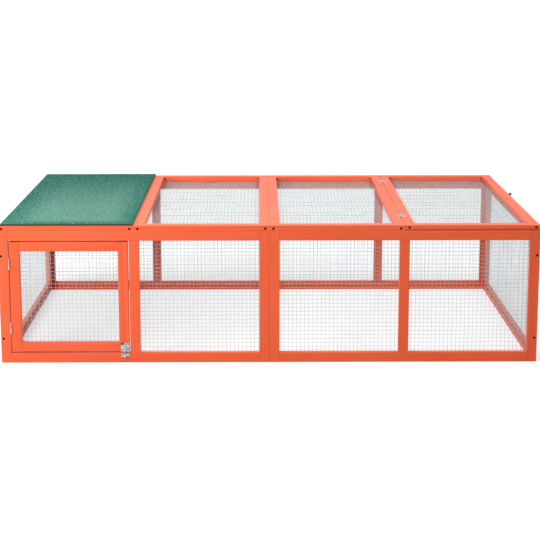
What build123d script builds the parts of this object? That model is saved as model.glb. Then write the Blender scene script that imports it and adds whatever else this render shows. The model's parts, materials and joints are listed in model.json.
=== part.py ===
from build123d import *
import os
from functools import lru_cache
from math import cos, radians, sin

# Overall size, millimetres
RUN_LENGTH = 1810.0
RUN_DEPTH = 1000.0
WALL_HEIGHT = 455.0

# Softwood bars and the small gap left where two bolted frames meet
BAR_WIDTH = 34.0
BAR_THICK = 18.0
BAR_EASE = 1.0
FRAME_SEAM = 0.1

# Welded wire nets: one wire in four is drawn, at its real thickness
WIRE = 1.0
NET_CELL = 55.2
NET_LAP = 12.0

# Roof: panels side by side, the first one boarded and felted, the last one a lid
ROOF_PANELS = 4
BOARD_THICK = 5.0
FELT_THICK = 2.0
BOARD_INSET_LEFT = 10.0
BOARD_INSET_RIGHT = 1.5
FELT_INSET = 0.6
LID_THICK = 15.5
LID_SEAM = 1.0
LID_SETBACK = 2.0

# Door in the left bay of the front wall
DOOR_STILE = 33.5
DOOR_TOP_RAIL = 32.0
DOOR_BOTTOM_RAIL = 32.0
DOOR_THICK = 18.0
DOOR_GAP_HINGE = 3.0
DOOR_GAP_LATCH = 2.8
DOOR_GAP_TOP = 3.6
DOOR_GAP_BOTTOM = 4.5

# Butt hinges, the same on the door and on the lid
HINGE_LENGTH = 38.0
LEAF_REACH = 12.5
LEAF_THICK = 1.0
KNUCKLE_RADIUS = 2.0
KNUCKLE_LIFT = 0.25
KNUCKLE_SLACK = 0.3
KNUCKLES = 3
PIN_RADIUS = 0.9
PIN_HEAD_RADIUS = 1.5
PIN_HEAD_THICK = 0.8
DOOR_HINGE_FROM_TOP = 74.0
DOOR_HINGE_FROM_BOTTOM = 81.0
LID_HINGE_FROM_END = 149.0

# Barrel bolt on the door's lower latch corner, drawn back at rest
BOLT_WIDTH = 28.0
BOLT_PLATE_HEIGHT = 29.0
BOLT_PLATE_THICK = 1.2
BOLT_STRAP_HEIGHT = 12.0
BOLT_STRAP_WALL = 1.1
BOLT_STRAP_LIFT = 1.0
BOLT_FROM_DOOR_EDGE = 15.0
BOLT_NOTCH_RADIUS = 4.5
BOLT_NOTCH_DEPTH = 9.5
BOLT_TRAVEL = 14.0
ROD_RADIUS = 2.75
ROD_TIP_EASE = 0.8
ROD_ROOM = 0.3
KNOB_NECK_RADIUS = 1.7
KNOB_HEAD_RADIUS = 2.8
KNOB_HEAD_LENGTH = 6.0
KNOB_REACH = 15.0
KNOB_FROM_ROD_TOP = 3.0
KNOB_ANGLE = 35.0
KNOB_STOP_GAP = 0.4
KEEPER_HEIGHT = 12.0
KEEPER_GAP = 1.2

# Catch on the right end: a headed stud on the lid and a swinging hook on the wall
STUD_FROM_FRONT = 610.0
STUD_NECK_RADIUS = 2.4
STUD_HEAD_RADIUS = 4.6
STUD_NECK_LENGTH = 8.0
STUD_HEAD_LENGTH = 9.0
STUD_HEAD_EASE = 1.5
STUD_ROOT_LENGTH = 16.0
HOOK_REACH = 28.0
HOOK_THICK = 1.8
HOOK_STANDOFF = 1.2
HOOK_EYE_RADIUS = 6.0
HOOK_HEAD_RADIUS = 7.4
HOOK_SHANK = 8.0
HOOK_SLOT_ROOM = 0.35
HOOK_MOUTH_ANGLE = 24.0
PIVOT_RADIUS = 2.0
PIVOT_ROOM = 0.06
PIVOT_HEAD_RADIUS = 4.4
PIVOT_HEAD_THICK = 1.4
PIVOT_ROOT_LENGTH = 14.0
PIVOT_GAP = 0.3

# Countersunk screws, and how far each kind bites into the second piece
LARGE_HEAD = 9.0
LARGE_SHANK = 4.0
FIXING_HEAD = 6.0
FIXING_SHANK = 3.2
SMALL_HEAD = 4.6
SMALL_SHANK = 2.4
SMALL_LENGTH = 13.0
FRAME_BITE = 26.0
JOINING_BITE = 27.0
FIXING_BITE = 12.0
SCREW_ROOM = 0.05

# Where the screws stand
JOINING_HEIGHTS = (84.0, 369.0)
ROOF_SCREW_INSET = 13.6
ROOF_SCREW_DROP = 2.3
INNER_SCREW_GAP = 5.0
FIXING_SPREAD = 144.0
LEAF_SCREW_REACH = 8.0
LEAF_SCREW_END = 8.0
BOLT_SCREW_SIDE = 10.2
BOLT_SCREW_TOP = 4.5
BOLT_SCREW_LOW = 7.0

# Lines that the pieces share
HALF_LENGTH = RUN_LENGTH / 2
HALF_DEPTH = RUN_DEPTH / 2
FRONT = -HALF_DEPTH
ROOF_TOP = WALL_HEIGHT + BAR_THICK
PANEL_WIDTH = RUN_LENGTH / ROOF_PANELS
FRAME_LENGTH = HALF_LENGTH - FRAME_SEAM / 2
END_LENGTH = RUN_DEPTH - 2 * BAR_THICK
KNUCKLE_CENTRE = KNUCKLE_RADIUS + KNUCKLE_LIFT
LID_LEFT = HALF_LENGTH - PANEL_WIDTH + LID_SEAM
LID_RIGHT = HALF_LENGTH - LID_SETBACK
LID_HINGE_X = LID_LEFT - LID_SEAM / 2
LID_HINGE_Z = ROOF_TOP + KNUCKLE_CENTRE
DOOR_HINGE_X = -HALF_LENGTH + BAR_WIDTH + DOOR_GAP_HINGE / 2
DOOR_HINGE_Y = FRONT - KNUCKLE_CENTRE
MULLION_LEFT = -HALF_LENGTH + FRAME_LENGTH / 2 - BAR_WIDTH / 2
DOOR_LEFT = DOOR_HINGE_X + DOOR_GAP_HINGE / 2
DOOR_RIGHT = MULLION_LEFT - DOOR_GAP_LATCH
DOOR_LOW = BAR_WIDTH + DOOR_GAP_BOTTOM
DOOR_HIGH = WALL_HEIGHT - BAR_WIDTH - DOOR_GAP_TOP
BOLT_X = DOOR_RIGHT - BOLT_FROM_DOOR_EDGE
ROD_STANDOFF = BOLT_PLATE_THICK + ROD_ROOM + ROD_RADIUS
ROD_Y = FRONT - ROD_STANDOFF
KEEPER_TOP = BAR_WIDTH - KEEPER_GAP
ROD_LOW = KEEPER_TOP + KEEPER_GAP
STRAP_TOP = DOOR_LOW + BOLT_STRAP_LIFT + BOLT_STRAP_HEIGHT
KNOB_Z = STRAP_TOP + KNOB_STOP_GAP + KNOB_HEAD_RADIUS + BOLT_TRAVEL
ROD_LENGTH = KNOB_Z + KNOB_FROM_ROD_TOP - ROD_LOW
STUD_Y = FRONT + STUD_FROM_FRONT
STUD_Z = ROOF_TOP - LID_THICK / 2
PIVOT_Z = STUD_Z - HOOK_REACH
HOOK_X = HALF_LENGTH + HOOK_STANDOFF
UPRIGHT = (Align.CENTER, Align.CENTER, Align.MIN)

# Screw kinds: head diameter, shank diameter, length
FRAME_SCREW = (LARGE_HEAD, LARGE_SHANK, BAR_WIDTH + FRAME_BITE)
JOINING_SCREW = (LARGE_HEAD, LARGE_SHANK, BAR_THICK + JOINING_BITE)
FIXING_SCREW = (FIXING_HEAD, FIXING_SHANK, BAR_THICK + FIXING_BITE)
SMALL_SCREW = (SMALL_HEAD, SMALL_SHANK, SMALL_LENGTH)

os.makedirs("parts", exist_ok=True)


def block(low, high):
    """Box between two opposite corners."""
    size = [abs(b - a) for a, b in zip(low, high)]
    middle = [(a + b) / 2 for a, b in zip(low, high)]
    return Pos(*middle) * Box(*size)


def bar(low, high):
    """Sawn bar between two corners, its four long edges eased."""
    size = [b - a for a, b in zip(low, high)]
    grain = (Axis.X, Axis.Y, Axis.Z)[size.index(max(size))]
    body = block(low, high)
    return chamfer(body.edges().filter_by(grain), BAR_EASE)


def net(width, height):
    """Flat welded net lying on the xy plane from the origin: one holed face, one wire thick."""
    columns = max(1, round((width - WIRE) / NET_CELL))
    rows = max(1, round((height - WIRE) / NET_CELL))
    step_x = (width - WIRE) / columns
    step_y = (height - WIRE) / rows

    def loop(x0, y0, x1, y1):
        """Closed rectangle between two corners."""
        return Wire.make_polygon([(x0, y0), (x1, y0), (x1, y1), (x0, y1)], close=True)

    holes = [
        loop(WIRE + i * step_x, WIRE + j * step_y, (i + 1) * step_x, (j + 1) * step_y)
        for i in range(columns)
        for j in range(rows)
    ]
    return extrude(Face(loop(0, 0, width, height), holes), amount=WIRE, dir=(0, 0, 1))


def standing_net(low, high):
    """Net in an xz plane, from the low corner to the high one; its back is at the low corner's y."""
    place = Pos(low[0], low[1] + WIRE, low[2]) * Rot(90, 0, 0)
    return place * net(high[0] - low[0], high[2] - low[2])


@lru_cache(maxsize=None)
def screw_shape(kind, room):
    """Countersunk screw along z, its flat head at the origin, grown all round by room."""
    head, shank, length = kind
    sink = (head - shank) / 2
    outline = [
        (0, 0),
        (head / 2 + room, 0),
        (shank / 2 + room, sink),
        (shank / 2 + room, length + room),
        (0, length + room),
    ]
    section = make_face(Plane.XZ * Polyline(*outline, close=True))
    return revolve(section, Axis.Z)


def screw(point, into, kind, room=0.0):
    """Countersunk screw with its head flush at point and its shank along into."""
    return Plane(origin=point, z_dir=into) * screw_shape(kind, room)


def screws(specs):
    """Solid screws for a list of (point, into, kind)."""
    return [screw(*spec) for spec in specs]


def reaches(body, hole):
    """True where the two bounding boxes meet."""
    a, b = body.bounding_box(), hole.bounding_box()
    lows = (a.min.X < b.max.X, a.min.Y < b.max.Y, a.min.Z < b.max.Z)
    highs = (b.min.X < a.max.X, b.min.Y < a.max.Y, b.min.Z < a.max.Z)
    return all(lows) and all(highs)


def drilled(bodies, specs):
    """The bodies, each with a clearance hole for every screw that reaches it."""
    holes = [screw(*spec, room=SCREW_ROOM) for spec in specs]
    result = []
    for body in bodies:
        near = [hole for hole in holes if reaches(body, hole)]
        result.append(body - near if near else body)
    return result


def moved(place, specs):
    """Screw specs carried from a local frame to where place puts it."""
    carried = []
    for point, into, kind in specs:
        start = (place * Pos(*point)).position
        end = (place * Pos(*(p + d for p, d in zip(point, into)))).position
        carried.append((tuple(start), tuple(end - start), kind))
    return carried


def write(node, pieces):
    """Writes the pieces of one node to its own file."""
    solids = [solid for piece in pieces for solid in piece.solids()]
    export_step(solids[0] if len(solids) == 1 else Compound(solids), f"parts/{node}.step")


def wall_bars(length, bays):
    """Posts, mullions and rails of one wall frame, its outer face at y = 0 and one end at x = 0."""
    top = WALL_HEIGHT
    posts = [
        bar((0, 0, 0), (BAR_WIDTH, BAR_THICK, top)),
        bar((length - BAR_WIDTH, 0, 0), (length, BAR_THICK, top)),
    ]
    rails = [
        bar((BAR_WIDTH, 0, 0), (length - BAR_WIDTH, BAR_THICK, BAR_WIDTH)),
        bar((BAR_WIDTH, 0, top - BAR_WIDTH), (length - BAR_WIDTH, BAR_THICK, top)),
    ]
    mullions = []
    for index in range(1, bays):
        left = length * index / bays - BAR_WIDTH / 2
        low = (left, 0, BAR_WIDTH)
        mullions.append(bar(low, (left + BAR_WIDTH, BAR_THICK, top - BAR_WIDTH)))
    return posts, mullions, rails


def wall_net(start, end):
    """Net on the inner face of a wall frame, lapping the bars at start and end."""
    low = (start - NET_LAP, BAR_THICK, BAR_WIDTH - NET_LAP)
    high = (end + NET_LAP, BAR_THICK, WALL_HEIGHT - BAR_WIDTH + NET_LAP)
    return standing_net(low, high)


def wall_screws(length, bays):
    """Screws through the posts into the rails, and through the rails into the mullions."""
    middle = BAR_THICK / 2
    specs = []
    for height in (BAR_WIDTH / 2, WALL_HEIGHT - BAR_WIDTH / 2):
        specs.append(((0, middle, height), (1, 0, 0), FRAME_SCREW))
        specs.append(((length, middle, height), (-1, 0, 0), FRAME_SCREW))
    for index in range(1, bays):
        x = length * index / bays
        specs.append(((x, middle, 0), (0, 0, 1), FRAME_SCREW))
        specs.append(((x, middle, WALL_HEIGHT), (0, 0, -1), FRAME_SCREW))
    return specs


def joining_screws():
    """Screws that join the walls at the four corners and the centre posts to each other."""
    specs = []
    for height in JOINING_HEIGHTS:
        for side in (-1, 1):
            corner = side * (HALF_LENGTH - BAR_THICK / 2)
            for end in (-1, 1):
                specs.append(((corner, end * HALF_DEPTH, height), (0, -end, 0), JOINING_SCREW))
        for end in (-1, 1):
            y = end * (HALF_DEPTH - BAR_THICK / 2)
            start = -BAR_WIDTH - FRAME_SEAM / 2
            specs.append(((start, y, height), (1, 0, 0), JOINING_SCREW))
    return specs


def roof_bars(left, right, thick, inset=0.0):
    """Rails and stiles of one roof panel, its back rail and left stile set in at the left."""
    low, top = ROOF_TOP - thick, ROOF_TOP
    inner = HALF_DEPTH - BAR_WIDTH
    rails = [
        bar((left, FRONT, low), (right, -inner, top)),
        bar((left + inset, inner, low), (right, HALF_DEPTH, top)),
    ]
    stiles = [
        bar((left + inset, -inner, low), (left + inset + BAR_WIDTH, inner, top)),
        bar((right - BAR_WIDTH, -inner, low), (right, inner, top)),
    ]
    return rails, stiles


def roof_net(left, right, thick):
    """Net under one roof panel, lapping its bars."""
    margin = BAR_WIDTH - NET_LAP
    corner = Pos(left + margin, FRONT + margin, ROOF_TOP - thick - WIRE)
    return corner * net(right - left - 2 * margin, RUN_DEPTH - 2 * margin)


def roof_screws(left, right, height, inset=0.0):
    """Screws through the front and back rails of one roof panel into its stiles."""
    specs = []
    for end, start in ((-1, left), (1, left + inset)):
        for x in (start + ROOF_SCREW_INSET, right - ROOF_SCREW_INSET):
            specs.append(((x, end * HALF_DEPTH, height), (0, -end, 0), FRAME_SCREW))
    return specs


def inner_screws(left, right, height):
    """Short screws in the inner face of the back rail, one beside each stile."""
    reach = BAR_WIDTH + INNER_SCREW_GAP
    face = HALF_DEPTH - BAR_WIDTH
    return [((x, face, height), (0, 1, 0), FIXING_SCREW) for x in (left + reach, right - reach)]


def roof_fixings(left, right):
    """Screws down through a panel's front and back rails into the walls' top rails."""
    middle = (left + right) / 2
    specs = []
    for x in (middle - FIXING_SPREAD, middle + FIXING_SPREAD):
        for end in (-1, 1):
            y = end * (HALF_DEPTH - BAR_THICK / 2)
            specs.append(((x, y, ROOF_TOP), (0, 0, -1), FIXING_SCREW))
    return specs


def roof_cover():
    """Board and mineral felt on the first roof panel."""
    left = -HALF_LENGTH + BOARD_INSET_LEFT
    right = -HALF_LENGTH + PANEL_WIDTH - BOARD_INSET_RIGHT
    board = block((left, FRONT, ROOF_TOP), (right, HALF_DEPTH, ROOF_TOP + BOARD_THICK))
    low = (left + FELT_INSET, FRONT + FELT_INSET, ROOF_TOP + BOARD_THICK)
    high = (right - FELT_INSET, HALF_DEPTH - FELT_INSET, ROOF_TOP + BOARD_THICK + FELT_THICK)
    return board, block(low, high)


def door_bars():
    """Stiles and rails of the door, flush with the front of the wall."""
    back = FRONT + DOOR_THICK
    left, right = DOOR_LEFT + DOOR_STILE, DOOR_RIGHT - DOOR_STILE
    stiles = [
        bar((DOOR_LEFT, FRONT, DOOR_LOW), (left, back, DOOR_HIGH)),
        bar((right, FRONT, DOOR_LOW), (DOOR_RIGHT, back, DOOR_HIGH)),
    ]
    rails = [
        bar((left, FRONT, DOOR_LOW), (right, back, DOOR_LOW + DOOR_BOTTOM_RAIL)),
        bar((left, FRONT, DOOR_HIGH - DOOR_TOP_RAIL), (right, back, DOOR_HIGH)),
    ]
    return stiles, rails


def door_net():
    """Net on the inner face of the door, lapping its bars."""
    back = FRONT + DOOR_THICK
    low = (DOOR_LEFT + DOOR_STILE - NET_LAP, back, DOOR_LOW + DOOR_BOTTOM_RAIL - NET_LAP)
    high = (DOOR_RIGHT - DOOR_STILE + NET_LAP, back, DOOR_HIGH - DOOR_TOP_RAIL + NET_LAP)
    return standing_net(low, high)


def door_screws():
    """Screws through the door's stiles into its rails."""
    y = FRONT + DOOR_THICK / 2
    specs = []
    for height in (DOOR_LOW + DOOR_BOTTOM_RAIL / 2, DOOR_HIGH - DOOR_TOP_RAIL / 2):
        specs.append(((DOOR_LEFT, y, height), (1, 0, 0), FRAME_SCREW))
        specs.append(((DOOR_RIGHT, y, height), (-1, 0, 0), FRAME_SCREW))
    return specs


def hinge_leaf(own, side, offset):
    """Open hinge leaf reaching along x to one side, its pin along z and its seat offset towards -y."""
    seat = -offset
    half = HINGE_LENGTH / 2
    pitch = HINGE_LENGTH / KNUCKLES
    near, far = side * KNUCKLE_CENTRE, side * LEAF_REACH
    leaf = block((near, seat, -half), (far, seat + LEAF_THICK, half))
    for index in own:
        low = -half + index * pitch + (KNUCKLE_SLACK / 2 if index else 0)
        high = -half + (index + 1) * pitch - (KNUCKLE_SLACK / 2 if index < KNUCKLES - 1 else 0)
        leaf += block((near, seat, low), (0, seat + LEAF_THICK, high))
        leaf += Pos(0, 0, low) * Cylinder(KNUCKLE_RADIUS, high - low, align=UPRIGHT)
    return leaf - Cylinder(PIN_RADIUS + SCREW_ROOM, HINGE_LENGTH * 2)


def hinge_pin():
    """Pin with a small head at each end, clear of the knuckles."""
    gap = HINGE_LENGTH / 2 + SCREW_ROOM
    pin = Cylinder(PIN_RADIUS, 2 * (gap + PIN_HEAD_THICK))
    for end in (-1, 1):
        middle = end * (gap + PIN_HEAD_THICK / 2)
        pin += Pos(0, 0, middle) * Cylinder(PIN_HEAD_RADIUS, PIN_HEAD_THICK)
    return pin


def leaf_screws(side, offset):
    """Screws through the open face of one leaf, into the wood behind its seat."""
    face = -offset + LEAF_THICK
    z = HINGE_LENGTH / 2 - LEAF_SCREW_END
    return [((side * LEAF_SCREW_REACH, face, end * z), (0, -1, 0), SMALL_SCREW) for end in (-1, 1)]


def hinge_half(places, own, side, offset):
    """The leaves of one half of some hinges, drilled, and their screws' specs."""
    specs = [spec for place in places for spec in moved(place, leaf_screws(side, offset))]
    return drilled([place * hinge_leaf(own, side, offset) for place in places], specs), specs


def hinges(fixed_places, moving_places, offset):
    """Leaves, pins and screws of hinges turned as the places say, their leaves offset from the pin."""
    fixed, fixed_specs = hinge_half(fixed_places, range(0, KNUCKLES, 2), -1, offset)
    moving, moving_specs = hinge_half(moving_places, range(1, KNUCKLES, 2), 1, offset)
    pins = [place * hinge_pin() for place in fixed_places]
    return fixed, moving, pins, fixed_specs, moving_specs


def door_hinges():
    """Two butt hinges folded shut in the gap beside the door."""
    heights = (DOOR_LOW + DOOR_HINGE_FROM_BOTTOM, DOOR_HIGH - DOOR_HINGE_FROM_TOP)
    at = [Pos(DOOR_HINGE_X, DOOR_HINGE_Y, z) for z in heights]
    fixed_places = [place * Rot(0, 0, -90) for place in at]
    moving_places = [place * Rot(0, 0, 90) for place in at]
    return hinges(fixed_places, moving_places, DOOR_GAP_HINGE / 2)


def lid_hinges():
    """Two butt hinges laid open on top of the seam between the lid and its neighbour."""
    reach = HALF_DEPTH - LID_HINGE_FROM_END
    at = [Pos(LID_HINGE_X, y, LID_HINGE_Z) * Rot(90, 0, 0) for y in (-reach, reach)]
    return hinges(at, at, KNUCKLE_CENTRE)


def bolt_strap(height):
    """Bridge over the rod, standing on the plate: rod along z through the origin, wood towards +y."""
    inner = ROD_RADIUS + ROD_ROOM
    outer = inner + BOLT_STRAP_WALL
    solid = Cylinder(outer, height, align=UPRIGHT) + block((-outer, 0, 0), (outer, inner, height))
    tunnel = Cylinder(inner, height, align=UPRIGHT) + block((-inner, 0, 0), (inner, inner, height))
    return solid - tunnel


def bolt_sheet(height):
    """Flat sheet behind the rod, up to the given height."""
    half = BOLT_WIDTH / 2
    return block((-half, ROD_STANDOFF - BOLT_PLATE_THICK, 0), (half, ROD_STANDOFF, height))


def bolt_plate():
    """Plate of the barrel bolt: sheet with a notch at the top and one strap low down."""
    sheet = bolt_sheet(BOLT_PLATE_HEIGHT)
    notch_z = BOLT_PLATE_HEIGHT - BOLT_NOTCH_DEPTH + BOLT_NOTCH_RADIUS
    turned = Pos(0, ROD_STANDOFF, notch_z) * Rot(90, 0, 0)
    radius = BOLT_NOTCH_RADIUS
    notch = turned * Cylinder(radius, 4 * BOLT_PLATE_THICK)
    notch += block((-radius, 0, notch_z), (radius, 2 * ROD_STANDOFF, 2 * BOLT_PLATE_HEIGHT))
    return sheet - notch + Pos(0, 0, BOLT_STRAP_LIFT) * bolt_strap(BOLT_STRAP_HEIGHT)


def bolt_plate_screws():
    """Screws at the four corners of the bolt's plate."""
    face = ROD_STANDOFF - BOLT_PLATE_THICK
    heights = (BOLT_SCREW_LOW, BOLT_PLATE_HEIGHT - BOLT_SCREW_TOP)
    sides = (-BOLT_SCREW_SIDE, BOLT_SCREW_SIDE)
    return [((x, face, z), (0, 1, 0), SMALL_SCREW) for x in sides for z in heights]


def keeper():
    """Keeper on the bottom rail: a sheet with a squared strap that the rod drops into."""
    inner = ROD_RADIUS + ROD_ROOM
    outer = inner + BOLT_STRAP_WALL
    strap = block((-outer, -outer, 0), (outer, inner, KEEPER_HEIGHT))
    strap = chamfer(strap.edges().filter_by(Axis.Z).sort_by(Axis.Y)[:2], BOLT_STRAP_WALL)
    tunnel = block((-inner, -inner, 0), (inner, inner, KEEPER_HEIGHT))
    return bolt_sheet(KEEPER_HEIGHT) + (strap - tunnel)


def keeper_screws():
    """One screw each side of the keeper's strap."""
    face = ROD_STANDOFF - BOLT_PLATE_THICK
    z = KEEPER_HEIGHT / 2
    return [((x, face, z), (0, 1, 0), SMALL_SCREW) for x in (-BOLT_SCREW_SIDE, BOLT_SCREW_SIDE)]


def knob():
    """Side knob of the rod: a neck let into the rod and a thicker grip."""
    neck = Cylinder(KNOB_NECK_RADIUS, KNOB_REACH, align=UPRIGHT)
    grip = Cylinder(KNOB_HEAD_RADIUS, KNOB_HEAD_LENGTH, align=UPRIGHT)
    grip = fillet(grip.edges(), ROD_TIP_EASE)
    return neck + Pos(0, 0, KNOB_REACH - KNOB_HEAD_LENGTH) * grip


def knob_place():
    """Where the knob leaves the rod, square to it and turned outwards."""
    out = (-cos(radians(KNOB_ANGLE)), -sin(radians(KNOB_ANGLE)), 0)
    return Plane(origin=(BOLT_X, ROD_Y, KNOB_Z), z_dir=out)


def rod():
    """Round rod of the barrel bolt with eased ends and a socket for its knob."""
    body = chamfer(Cylinder(ROD_RADIUS, ROD_LENGTH, align=UPRIGHT).edges(), ROD_TIP_EASE)
    socket = knob_place() * Cylinder(KNOB_NECK_RADIUS + SCREW_ROOM, 2 * KNOB_REACH, align=UPRIGHT)
    return Pos(BOLT_X, ROD_Y, ROD_LOW) * body - socket


def stud():
    """Headed stud on the lid's right edge, its root in the wood."""
    neck_out = STUD_NECK_LENGTH
    head = Cylinder(STUD_HEAD_RADIUS, STUD_HEAD_LENGTH, align=UPRIGHT)
    head = Pos(0, 0, neck_out) * fillet(head.edges(), STUD_HEAD_EASE)
    shank = Pos(0, 0, -STUD_ROOT_LENGTH)
    shank *= Cylinder(STUD_NECK_RADIUS, STUD_ROOT_LENGTH + neck_out, align=UPRIGHT)
    return Plane(origin=(LID_RIGHT, STUD_Y, STUD_Z), z_dir=(1, 0, 0)) * (shank + head)


def root_hole(x, y, z, radius, length):
    """Blind hole in a face at x, for a root that runs towards -x."""
    hole = Cylinder(radius + SCREW_ROOM, length + SCREW_ROOM, align=UPRIGHT)
    return Plane(origin=(x, y, z), z_dir=(-1, 0, 0)) * hole


def hook():
    """Hook plate hanging from its pivot, with an arc slot open on the side it swings towards."""
    slot = STUD_NECK_RADIUS + HOOK_SLOT_ROOM
    reach = HOOK_REACH
    thick = HOOK_THICK
    shank = Pos(-reach / 2, 0, 0) * Box(reach, HOOK_SHANK, thick)
    plate = Cylinder(HOOK_EYE_RADIUS, thick) + shank + Pos(-reach, 0, 0) * Cylinder(HOOK_HEAD_RADIUS, thick)
    sweep_width = reach * sin(radians(HOOK_MOUTH_ANGLE))
    track = Cylinder(reach + slot, thick) - Cylinder(reach - slot, thick)
    mouth = track & (Pos(-reach, sweep_width / 2, 0) * Box(reach, sweep_width, thick))
    plate -= mouth + Pos(-reach, 0, 0) * Cylinder(slot, thick)
    plate -= Cylinder(PIVOT_RADIUS + PIVOT_ROOM, thick)
    turned = Plane(origin=(HOOK_X + thick / 2, STUD_Y, PIVOT_Z), x_dir=(0, 0, 1), z_dir=(-1, 0, 0))
    return turned * plate


def pivot():
    """Pivot screw of the hook: root in the wood, collar behind the hook and head in front of it."""
    collar_length = HOOK_STANDOFF - PIVOT_GAP
    head_at = HOOK_STANDOFF + HOOK_THICK + PIVOT_GAP
    body = Pos(0, 0, -PIVOT_ROOT_LENGTH) * Cylinder(PIVOT_RADIUS, PIVOT_ROOT_LENGTH + head_at, align=UPRIGHT)
    body += Cylinder(PIVOT_HEAD_RADIUS, collar_length, align=UPRIGHT)
    body += Pos(0, 0, head_at) * Cylinder(PIVOT_HEAD_RADIUS, PIVOT_HEAD_THICK, align=UPRIGHT)
    return Plane(origin=(HALF_LENGTH, STUD_Y, PIVOT_Z), z_dir=(1, 0, 0)) * body


# Fasteners that pass through more than one node
joining = joining_screws()
door_fixed, door_moving, door_pins, door_fixed_specs, door_moving_specs = door_hinges()
lid_fixed, lid_moving, lid_pins, lid_fixed_specs, lid_moving_specs = lid_hinges()
plate_place = Pos(BOLT_X, ROD_Y, DOOR_LOW)
keeper_place = Pos(BOLT_X, ROD_Y, KEEPER_TOP - KEEPER_HEIGHT)
plate_specs = moved(plate_place, bolt_plate_screws())
keeper_specs = moved(keeper_place, keeper_screws())
panel_edges = [-HALF_LENGTH + PANEL_WIDTH * index for index in range(ROOF_PANELS)]
fixed_panels = [
    (left + FRAME_SEAM / 2 * (index > 0), left + PANEL_WIDTH - FRAME_SEAM / 2 * (index < ROOF_PANELS - 2))
    for index, left in enumerate(panel_edges[:-1])
]
panel_insets = [BOARD_INSET_LEFT] + [0.0] * (len(fixed_panels) - 1)
roof_height = ROOF_TOP - BAR_THICK / 2 - ROOF_SCREW_DROP
roof_specs = [
    spec
    for (left, right), inset in zip(fixed_panels, panel_insets)
    for spec in roof_screws(left, right, roof_height, inset)
]
fixing_specs = [spec for edges in fixed_panels for spec in roof_fixings(*edges)]
fixing_specs += [
    spec
    for (left, right), inset in zip(fixed_panels, panel_insets)
    for spec in inner_screws(left + inset, right, ROOF_TOP - BAR_THICK / 2)
]
pivot_hole = root_hole(HALF_LENGTH, STUD_Y, PIVOT_Z, PIVOT_RADIUS, PIVOT_ROOT_LENGTH)

# Walls: four long frames with a mullion each, and two end frames between them
long_walls = {
    "front_left": Pos(-HALF_LENGTH, FRONT, 0),
    "front_right": Pos(FRAME_SEAM / 2, FRONT, 0),
    "back_left": Pos(-FRAME_SEAM / 2, HALF_DEPTH, 0) * Rot(0, 0, 180),
    "back_right": Pos(HALF_LENGTH, HALF_DEPTH, 0) * Rot(0, 0, 180),
}
end_walls = {
    "left_end": Pos(-HALF_LENGTH, END_LENGTH / 2, 0) * Rot(0, 0, -90),
    "right_end": Pos(HALF_LENGTH, -END_LENGTH / 2, 0) * Rot(0, 0, 90),
}
wall_plan = {name: (place, FRAME_LENGTH, 2) for name, place in long_walls.items()}
wall_plan.update({name: (place, END_LENGTH, 1) for name, place in end_walls.items()})
frame_specs = []
for name, (place, length, bays) in wall_plan.items():
    own_specs = moved(place, wall_screws(length, bays))
    frame_specs += own_specs
    through = own_specs + joining + fixing_specs + door_fixed_specs + keeper_specs
    posts, mullions, rails = [[place * piece for piece in group] for group in wall_bars(length, bays)]
    posts, mullions, rails = drilled(posts, through), drilled(mullions, through), drilled(rails, through)
    if name == "right_end":
        rails = [rail - pivot_hole for rail in rails]
    net_start = length / 2 + BAR_WIDTH / 2 if name == "front_left" else BAR_WIDTH
    write(f"{name}_posts", posts)
    write(f"{name}_rails", rails)
    write(f"{name}_net", [place * wall_net(net_start, length - BAR_WIDTH)])
    if mullions:
        write(f"{name}_mullion", mullions)

# Roof panels that stay put
roof_through = roof_specs + fixing_specs + lid_fixed_specs
for index, (left, right) in enumerate(fixed_panels):
    rails, stiles = roof_bars(left, right, BAR_THICK, panel_insets[index])
    write(f"roof_{index + 1}_rails", drilled(rails, roof_through))
    write(f"roof_{index + 1}_stiles", drilled(stiles, roof_through))
    if index:
        write(f"roof_{index + 1}_net", [roof_net(left, right, BAR_THICK)])
roof_board, roof_felt = roof_cover()
write("roof_1_board", [roof_board])
write("roof_1_felt", [roof_felt])

# Lid
lid_specs = roof_screws(LID_LEFT, LID_RIGHT, STUD_Z)
lid_specs += inner_screws(LID_LEFT, LID_RIGHT, STUD_Z)
lid_rails, lid_stiles = roof_bars(LID_LEFT, LID_RIGHT, LID_THICK)
stud_hole = root_hole(LID_RIGHT, STUD_Y, STUD_Z, STUD_NECK_RADIUS, STUD_ROOT_LENGTH)
lid_stiles = [stile - stud_hole for stile in drilled(lid_stiles, lid_specs + lid_moving_specs)]
write("lid_rails", drilled(lid_rails, lid_specs))
write("lid_stiles", lid_stiles)
write("lid_net", [roof_net(LID_LEFT, LID_RIGHT, LID_THICK)])

# Door
door_specs = door_screws()
door_through = door_specs + door_moving_specs + plate_specs
stiles, rails = door_bars()
write("door_stiles", drilled(stiles, door_through))
write("door_rails", drilled(rails, door_through))
write("door_net", [door_net()])

# Hinges
write("door_hinge_frame_leaves", door_fixed)
write("door_hinge_door_leaves", door_moving)
write("door_hinge_pins", door_pins)
write("lid_hinge_fixed_leaves", lid_fixed)
write("lid_hinge_lid_leaves", lid_moving)
write("lid_hinge_pins", lid_pins)

# Barrel bolt
write("bolt_plate", drilled([plate_place * bolt_plate()], plate_specs))
write("bolt_keeper", drilled([keeper_place * keeper()], keeper_specs))
write("bolt_rod", [rod()])
write("bolt_knob", [knob_place() * knob()])

# Lid catch
write("lid_stud", [stud()])
write("catch_hook", [hook()])
write("catch_pivot", [pivot()])

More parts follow.
